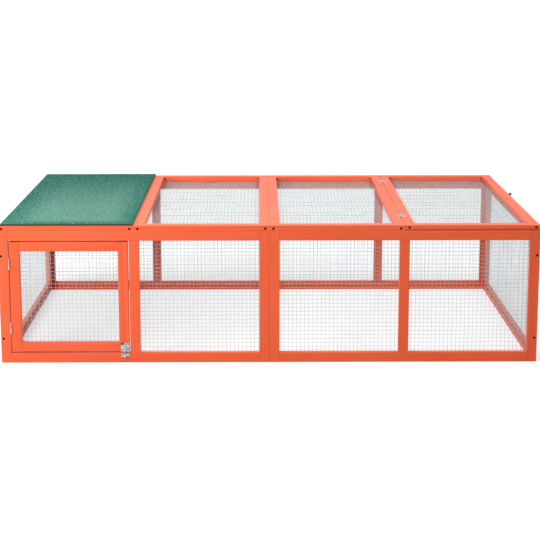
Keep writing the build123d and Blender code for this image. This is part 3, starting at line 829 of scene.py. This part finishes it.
@dataclass
class WireNet:
    """One welded net of round wires in two layers, and the staples that hold it."""

    node: str
    wire: bpy.types.Material
    zinc: bpy.types.Material
    pitch: float = 0.0138
    diameter: float = 0.0010
    sides: int = 6
    weld: float = 0.25
    rise: float = 0.00005
    cut: float = 0.055
    waver: float = 0.0010
    waver_off_bars: float = 2.0
    waver_scale: float = 9.0
    still_edge: float = 0.010
    easing: float = 0.040
    staple_gap: float = 0.110
    staple_inset: float = 0.030
    staple_crown: float = 0.010
    staple_wire: float = 0.0011
    staple_flatness: float = 0.6
    staple_round: float = 0.7
    staple_bite: float = 0.0012
    staple_rise: float = 0.0001
    staple_drift: float = 0.004
    staple_tilt: float = 0.16

    def __post_init__(self) -> None:
        """Reads where the net lies from its solid."""
        self.low, self.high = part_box(self.node)
        size = self.high - self.low
        self.flat = min(range(3), key=lambda axis: size[axis])
        self.across, self.up = [axis for axis in range(3) if axis != self.flat]
        self.inwards = -1.0 if (self.low[self.flat] + self.high[self.flat]) > 0.0 else 1.0
        self.seat = self.low[self.flat] if self.inwards > 0.0 else self.high[self.flat]
        self.crown_thick = self.staple_wire * self.staple_flatness

    def point(self, across: float, up: float, depth: float) -> Vector:
        """A point of the net.

        Args:
            across: Place along the first axis in the net.
            up: Place along the second.
            depth: Depth from the bars inwards.

        Returns:
            The point.
        """
        made = Shaper.along(self.flat, self.seat + self.inwards * depth)
        made[self.across], made[self.up] = across, up
        return made

    def strand(self, shape: bmesh.types.BMesh, start: Vector, end: Vector) -> None:
        """Adds one straight wire.

        Args:
            shape: The net so far.
            start: One end of its middle line.
            end: The other.
        """
        run = end - start
        turn = Vector((0.0, 0.0, 1.0)).rotation_difference(run).to_matrix().to_4x4()
        place = Matrix.Translation((start + end) / 2) @ turn
        sizes = {"radius1": self.diameter / 2, "radius2": self.diameter / 2, "depth": run.length}
        bmesh.ops.create_cone(shape, segments=self.sides, cap_ends=True, matrix=place, **sizes)

    def edges(self, axis: int) -> tuple[float, float]:
        """Where the first and the last wire across one axis stand."""
        return self.low[axis] + self.diameter / 2, self.high[axis] - self.diameter / 2

    def lines(self, axis: int) -> list[float]:
        """Where all the wires across one axis stand.

        Args:
            axis: The axis.

        Returns:
            Their places along it.
        """
        low, high = self.edges(axis)
        count = max(1, round((high - low) / self.pitch))
        return [low + (high - low) * index / count for index in range(count + 1)]

    def build(self) -> None:
        """Builds the wires and the staples."""
        shape = bmesh.new()
        first = self.diameter / 2 + self.rise
        second = first + self.diameter * (1.0 - self.weld)
        left, right = self.low[self.across], self.high[self.across]
        bottom, top = self.low[self.up], self.high[self.up]
        for across in self.lines(self.across):
            self.strand(shape, self.point(across, bottom, first), self.point(across, top, first))
        for up in self.lines(self.up):
            self.strand(shape, self.point(left, up, second), self.point(right, up, second))
        self.bend(shape)
        body = BODIES.of(self.node)
        Shaper.finish(shape, f"{self.node}_wires", self.wire, body, "wire_mesh", stands_for=self.node)
        self.staples(body, second + self.diameter / 2)

    def bend(self, shape: bmesh.types.BMesh) -> None:
        """Cuts the wires into short lengths and lets them waver a little, less towards the edges.

        Args:
            shape: The straight wires.
        """
        axes = (self.across, self.up)
        step = max(1, round(self.cut / self.pitch))
        for axis in axes:
            lines = self.lines(axis)
            for index in range(step, len(lines) - 1, step):
                middle = Shaper.along(axis, (lines[index] + lines[index - 1]) / 2)
                everything = [*shape.verts, *shape.edges, *shape.faces]
                bmesh.ops.bisect_plane(shape, geom=everything, plane_co=middle, plane_no=Shaper.along(axis))
        for vert in shape.verts:
            room = min(min(vert.co[axis] - self.low[axis], self.high[axis] - vert.co[axis]) for axis in axes)
            ease = min(1.0, max(0.0, (room - self.still_edge) / self.easing))
            sway = noise.noise_vector(vert.co * self.waver_scale) * self.waver * ease
            sway[self.flat] = abs(sway[self.flat]) * self.inwards * self.waver_off_bars
            vert.co += sway

    def staple(self) -> bpy.types.Mesh:
        """Pattern of one staple: its crown along x, its legs down z, and its middle at the origin.

        Returns:
            The pattern.
        """
        half, thick = self.staple_crown / 2, self.crown_thick
        inner, leg = half - thick, thick + self.diameter * 2.0 + self.staple_bite
        outline = [(-half, -leg), (-half, 0.0), (half, 0.0), (half, -leg)]
        outline += [(inner, -leg), (inner, -thick), (-inner, -thick), (-inner, -leg)]
        shape = bmesh.new()
        face = shape.faces.new([shape.verts.new((x, -self.staple_wire / 2, z)) for x, z in outline])
        grown = bmesh.ops.extrude_face_region(shape, geom=[face])["geom"]
        moved = [item for item in grown if isinstance(item, bmesh.types.BMVert)]
        bmesh.ops.translate(shape, vec=(0.0, self.staple_wire, 0.0), verts=moved)
        tops = [edge for edge in shape.edges if all(self.on_shoulder(vert.co) for vert in edge.verts)]
        rounding = {"offset": thick * self.staple_round, "segments": 2, "profile": 0.5}
        bmesh.ops.bevel(shape, geom=tops, affect="EDGES", material=-1, **rounding)
        return Shaper.pattern(shape)

    def on_shoulder(self, point: Vector) -> bool:
        """Whether a point of the staple lies at an outer end of its crown's top."""
        return abs(point.z) < TINY and abs(abs(point.x) - self.staple_crown / 2) < TINY

    def staples(self, body: str, top: float) -> None:
        """Sets staples over the edge wires, into the bars behind.

        Args:
            body: Body that the net moves with.
            top: Height of the wires above the bars.
        """
        draw = random.Random(self.node)
        pattern = self.staple()
        shape = bmesh.new()
        normal = Shaper.along(self.flat, self.inwards)
        height = top + self.crown_thick + self.staple_rise
        for along, across in ((self.across, self.up), (self.up, self.across)):
            crown = Shaper.along(across)
            turn = Matrix((crown, normal.cross(crown), normal)).transposed().to_4x4()
            start, end = self.low[along] + self.staple_inset, self.high[along] - self.staple_inset
            count = max(2, round((end - start) / self.staple_gap))
            for edge in self.edges(across):
                for index in range(count + 1):
                    drift = draw.uniform(-self.staple_drift, self.staple_drift)
                    place = Shaper.along(self.flat, self.seat + self.inwards * height)
                    place[along] = start + (end - start) * index / count + drift
                    place[across] = edge
                    tilt = Matrix.Rotation(draw.uniform(-self.staple_tilt, self.staple_tilt), 4, "Z")
                    Shaper.stamp(shape, pattern, Matrix.Translation(place) @ turn @ tilt)
        bpy.data.meshes.remove(pattern)
        Shaper.finish(shape, f"{self.node}_staples", self.zinc, body, "zinc_hardware", smooth=False)


@dataclass
class ScrewSet:
    """Countersunk screws with cross recesses, set where the plain ones stand."""

    node: str
    steel: bpy.types.Material
    steps: int = 12
    dish: float = 0.00012
    face: float = 0.93
    chamfer: float = 0.06
    arm: float = 0.56
    slot: float = 0.14
    recess: float = 0.42
    recess_floor: float = 0.62
    shown: float = 0.012
    tip: float = 0.85
    far_end: float = 0.9

    def pattern(self, head: float, shank: float) -> bpy.types.Mesh:
        """Pattern of one screw, its head's top at the origin and its shank down z.

        Args:
            head: Radius of the head.
            shank: Radius of the shank.

        Returns:
            The pattern.
        """
        shape = bmesh.new()
        ring = bmesh.ops.create_circle(shape, segments=self.steps, radius=head * self.face)["verts"]
        half_step = Matrix.Rotation(math.pi / self.steps, 3, "Z")
        bmesh.ops.rotate(shape, verts=ring, cent=(0, 0, 0), matrix=half_step)
        rim = list(shape.edges)
        arm, slot = head * self.arm, head * self.slot
        cross = []
        for turn in range(4):
            spin = Matrix.Rotation(math.pi / 2 * turn, 2)
            for point in ((arm, slot), (slot, slot), (slot, arm)):
                cross.append(shape.verts.new((*(spin @ Vector(point)), -self.dish)))
        mouth = [shape.edges.new((cross[index - 1], cross[index])) for index in range(len(cross))]
        bmesh.ops.bridge_loops(shape, edges=rim + mouth)
        self.draw(shape, mouth, -head * self.recess, self.recess_floor, close=True)
        outer = self.draw(shape, rim, -head * self.chamfer, 1.0 / self.face)
        neck = self.draw(shape, outer, shank - head, shank / head)
        self.draw(shape, neck, -self.shown, self.tip, close=True)
        return Shaper.pattern(shape)

    @staticmethod
    def draw(shape: bmesh.types.BMesh, edges: list, rise: float, scale: float, close: bool = False) -> list:
        """Extrudes a closed loop, moves it along z and widens or narrows it.

        Args:
            shape: The screw so far.
            edges: The loop.
            rise: How far the new loop moves along z.
            scale: How much it widens about the axis.
            close: Whether it is capped.

        Returns:
            The new loop's edges.
        """
        grown = bmesh.ops.extrude_edge_only(shape, edges=edges)["geom"]
        verts = [item for item in grown if isinstance(item, bmesh.types.BMVert)]
        new = [item for item in grown if isinstance(item, bmesh.types.BMEdge)]
        bmesh.ops.translate(shape, vec=(0.0, 0.0, rise), verts=verts)
        bmesh.ops.scale(shape, vec=(scale, scale, 1.0), verts=verts)
        if close:
            bmesh.ops.contextual_create(shape, geom=new)
        return new

    def seats(self) -> list[tuple[Vector, Vector, float, float]]:
        """Finds the plain screws of the set.

        Returns:
            Head, direction, head radius and shank radius of each.
        """
        copy = bmesh.new()
        copy.from_mesh(frame["nodes"][self.node].data)
        bmesh.ops.remove_doubles(copy, verts=copy.verts, dist=TOUCH)
        left = set(copy.verts)
        found = []
        while left:
            group, rim = set(), {next(iter(left))}
            while rim:
                group |= rim
                rim = {edge.other_vert(vert) for vert in rim for edge in vert.link_edges} - group
            left -= group
            found.append(self.seat([vert.co.copy() for vert in group]))
        copy.free()
        return sorted(found, key=lambda seat: tuple(round(value, 6) for value in seat[0]))

    def seat(self, points: list[Vector]) -> tuple[Vector, Vector, float, float]:
        """Reads one plain screw.

        Args:
            points: Its corners.

        Returns:
            Head, direction, head radius and shank radius.
        """
        low = Vector([min(point[axis] for point in points) for axis in range(3)])
        high = Vector([max(point[axis] for point in points) for axis in range(3)])
        size = high - low
        axis = max(range(3), key=lambda index: size[index])
        top = (low + high) / 2
        middle = top[axis]
        head = (sum(size) - size[axis]) / 4

        def reach(point: Vector) -> float:
            """Distance of a point from the screw's axis."""
            return (point - top - Shaper.along(axis, point[axis] - top[axis])).length

        wide = [point[axis] for point in points if reach(point) > head * self.far_end]
        at_high = sum(wide) / len(wide) > middle
        top[axis] = high[axis] if at_high else low[axis]
        depth = size[axis] * self.far_end
        far = [reach(point) for point in points if abs(point[axis] - top[axis]) > depth]
        return top, Shaper.along(axis, -1.0 if at_high else 1.0), head, max(far)

    def build(self) -> None:
        """Builds the set as one piece that stands for the plain screws."""
        draw = random.Random(self.node)
        patterns: dict[tuple[float, float], bpy.types.Mesh] = {}
        shape = bmesh.new()
        for top, into, head, shank in self.seats():
            key = (round(head, 5), round(shank, 5))
            if key not in patterns:
                patterns[key] = self.pattern(head, shank)
            turn = Vector((0.0, 0.0, -1.0)).rotation_difference(into).to_matrix().to_4x4()
            spin = Matrix.Rotation(draw.uniform(0.0, math.pi / 2), 4, "Z")
            place = Matrix.Translation(top + into * self.dish) @ turn @ spin
            Shaper.stamp(shape, patterns[key], place)
        for mesh in patterns.values():
            bpy.data.meshes.remove(mesh)
        title, body = self.node.replace("screws", "cross_screws"), BODIES.of(self.node)
        Shaper.finish(shape, title, self.steel, body, "black_screw", smooth=False, stands_for=self.node)


@dataclass
class RoofFelt:
    """The felt on the boarded roof panel: a sheet with a slightly wavy face and ragged edges."""

    felt: bpy.types.Material
    node: str = "roof_1_felt"
    cell: float = 0.009
    swell: float = 0.00045
    wave_scale: float = 7.0
    ripple_scale: float = 60.0
    ripple_share: float = 0.3
    rag: float = 0.0009
    rag_scales: tuple[float, float] = (55.0, 170.0)
    rim_drop: float = 0.0003

    def build(self) -> None:
        """Builds the sheet in place of the plain one."""
        low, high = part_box(self.node)
        size, middle = high - low, (low + high) / 2
        shape = bmesh.new()
        columns, rows = round(size.x / self.cell), round(size.y / self.cell)
        place = Matrix.Translation((middle.x, middle.y, high.z - self.swell))
        place = place @ Matrix.Diagonal((size.x, size.y, 1.0, 1.0))
        bmesh.ops.create_grid(shape, x_segments=columns, y_segments=rows, size=0.5, matrix=place)
        rim = [edge for edge in shape.edges if edge.is_boundary]
        for vert in shape.verts:
            vert.co.z += noise.noise(vert.co * self.wave_scale) * self.swell * (1.0 - self.ripple_share)
            vert.co.z += noise.noise(vert.co * self.ripple_scale) * self.swell * self.ripple_share
        for vert in {vert for edge in rim for vert in edge.verts}:
            ragged = sum(noise.noise(vert.co * scale) for scale in self.rag_scales) * self.rag
            inwards = middle - vert.co
            if size.x / 2 - abs(inwards.x) < size.y / 2 - abs(inwards.y):
                vert.co.x += math.copysign(max(0.0, self.rag + ragged), inwards.x)
            else:
                vert.co.y += math.copysign(max(0.0, self.rag + ragged), inwards.y)
            vert.co.z -= self.rim_drop
        grown = bmesh.ops.extrude_edge_only(shape, edges=rim)["geom"]
        for vert in grown:
            if isinstance(vert, bmesh.types.BMVert):
                vert.co.z = low.z
        skirt = [item for item in grown if isinstance(item, bmesh.types.BMEdge)]
        bmesh.ops.contextual_create(shape, geom=skirt)
        bmesh.ops.recalc_face_normals(shape, faces=shape.faces)
        body = BODIES.of(self.node)
        Shaper.finish(shape, "mineral_felt", self.felt, body, "roof_felt", stands_for=self.node)


@dataclass
class Studio:
    """White floor and surroundings, soft lamps and the camera."""

    ambient: float = 0.54
    floor_reach: float = 30.0
    floor_colour: float = 0.45
    floor_lift: float = 0.56
    mid_lift: float = 0.70
    far_lift: float = 0.81
    mid_reach: tuple[float, float] = (0.60, 1.30)
    far_reach: tuple[float, float] = (1.8, 4.0)
    lift_squash: Triple = (0.72, 1.0, 0.0)
    lift_tint: Colour = (0.96, 0.99, 1.0)
    top_power: float = 29.0
    top_place: Triple = (-0.15, -0.50, 2.0)
    top_size: tuple[float, float] = (2.6, 0.9)
    key_power: float = 86.0
    key_place: Triple = (-2.3, -1.95, 1.75)
    key_target: Triple = (-0.2, 0.0, 0.25)
    key_size: tuple[float, float] = (1.8, 1.8)
    lens: float = 88.633
    sensor: float = 36.0
    far_clip: float = 100.0
    camera_place: Triple = (-0.03287, -4.83032, 1.37371)
    camera_turn: float = 0.00805
    camera_tilt: float = 0.17771
    camera_shift: float = -0.15

    def build(self) -> None:
        """Sets up everything round the object."""
        self.surroundings()
        self.floor()
        self.lamps()
        self.camera()
        bpy.context.scene.view_settings.view_transform = "Standard"
        LOG.info("studio ready")

    @staticmethod
    def seen(graph: Graph) -> Socket:
        """Tells rays that show the background, from the camera, in gloss and through glass.

        Args:
            graph: The graph that uses it.

        Returns:
            1 for such a ray and 0 for any other.
        """
        path = graph.node("ShaderNodeLightPath").outputs
        either = graph.math("MAXIMUM", path["Is Camera Ray"], path["Is Glossy Ray"])
        return graph.math("MAXIMUM", either, path["Is Transmission Ray"])

    def surroundings(self) -> None:
        """White all round, at a plain level on the object."""
        world = bpy.data.worlds.new("white_surroundings")
        bpy.context.scene.world = world
        world.use_nodes = True
        graph = Graph(world.node_tree)
        strength = graph.math("MULTIPLY_ADD", self.seen(graph), 1.0 - self.ambient, self.ambient)
        white = {"Color": (1.0, 1.0, 1.0, 1.0), "Strength": strength}
        graph.fill(world.node_tree.nodes["Background"].inputs, white)

    def floor(self) -> None:
        """Pale floor that keeps the object's shadow near it and turns plain white further out."""
        shape = bmesh.new()
        bmesh.ops.create_grid(shape, x_segments=1, y_segments=1, size=self.floor_reach)
        mesh = bpy.data.meshes.new("studio_floor")
        shape.to_mesh(mesh)
        shape.free()
        material = bpy.data.materials.new("pale_floor")
        material.use_nodes = True
        graph = Graph(material.node_tree)
        place = graph.node("ShaderNodeTexCoord").outputs["Object"]
        distance = graph.vector("LENGTH", graph.stretch(place, self.lift_squash)).outputs["Value"]
        near = graph.span(distance, *self.mid_reach, self.floor_lift, self.mid_lift)
        far = graph.span(distance, *self.far_reach, 0.0, self.far_lift - self.mid_lift)
        looks = {
            "Base Color": (*(self.floor_colour,) * 3, 1.0),
            "Roughness": 1.0,
            "Specular IOR Level": 0.0,
            "Emission Color": (*self.lift_tint, 1.0),
            "Emission Strength": graph.math("MULTIPLY", graph.math("ADD", near, far), self.seen(graph)),
        }
        graph.fill(material.node_tree.nodes["Principled BSDF"].inputs, looks)
        mesh.materials.append(material)
        floor = bpy.data.objects.new("studio_floor", mesh)
        bpy.context.scene.collection.objects.link(floor)

    def lamps(self) -> None:
        """A large soft lamp from the front left, and a wide one above the roof."""
        self.lamp("key_lamp", self.key_power, self.key_place, self.key_size, self.key_target)
        below = (*self.top_place[:2], 0.0)
        self.lamp("top_lamp", self.top_power, self.top_place, self.top_size, below)

    @staticmethod
    def lamp(title: str, power: float, place: Triple, size: tuple[float, float], target: Triple) -> None:
        """Adds one rectangular lamp.

        Args:
            title: Its name.
            power: Its power in watts.
            place: Where it hangs.
            size: Its width and depth.
            target: Point that it faces.
        """
        data = bpy.data.lights.new(title, "AREA")
        data.shape = "RECTANGLE"
        data.energy = power
        data.size, data.size_y = size
        lamp = bpy.data.objects.new(title, data)
        lamp.location = place
        lamp.rotation_euler = (Vector(target) - Vector(place)).to_track_quat("-Z", "Y").to_euler()
        bpy.context.scene.collection.objects.link(lamp)

    def camera(self) -> None:
        """Long lens, a little above the roof, near the middle of the front."""
        data = bpy.data.cameras.new("view")
        data.lens = self.lens
        data.sensor_width = self.sensor
        data.shift_y = self.camera_shift
        data.clip_end = self.far_clip
        camera = bpy.data.objects.new("view", data)
        camera.location = self.camera_place
        turn, level = self.camera_turn, math.cos(self.camera_tilt)
        ahead = Vector((math.sin(turn) * level, math.cos(turn) * level, -math.sin(self.camera_tilt)))
        camera.rotation_euler = ahead.to_track_quat("-Z", "Y").to_euler()
        bpy.context.scene.collection.objects.link(camera)
        bpy.context.scene.camera = camera


def main() -> None:
    """Builds the cage's looks in order."""
    logging.basicConfig(level=logging.INFO, format="%(name)s: %(message)s")
    effects = Effects()
    zinc = MetalFinish(ZINC_PLATE, effects).made
    galvanised = MetalFinish(DULL_GALVANISING, effects).made
    steel = MetalFinish(BLACK_STEEL, effects).made
    dark = MetalFinish(DARK_FITTING, effects).made
    Timber(TimberFinish(ORANGE_STAIN, effects), TimberFinish(BARE_BOARD_PAINTED_EDGE_SHADE, effects)).dress()
    Hardware(zinc, dark).dress()
    for node in BODIES.nodes("_net"):
        WireNet(node, galvanised, zinc).build()
    for node in sorted(name for name in BODIES.carrier if "screws" in name):
        ScrewSet(node, steel).build()
    RoofFelt(FeltFinish(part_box("roof_1_felt")).made).build()
    Studio().build()


if __name__ == "__main__":
    main()
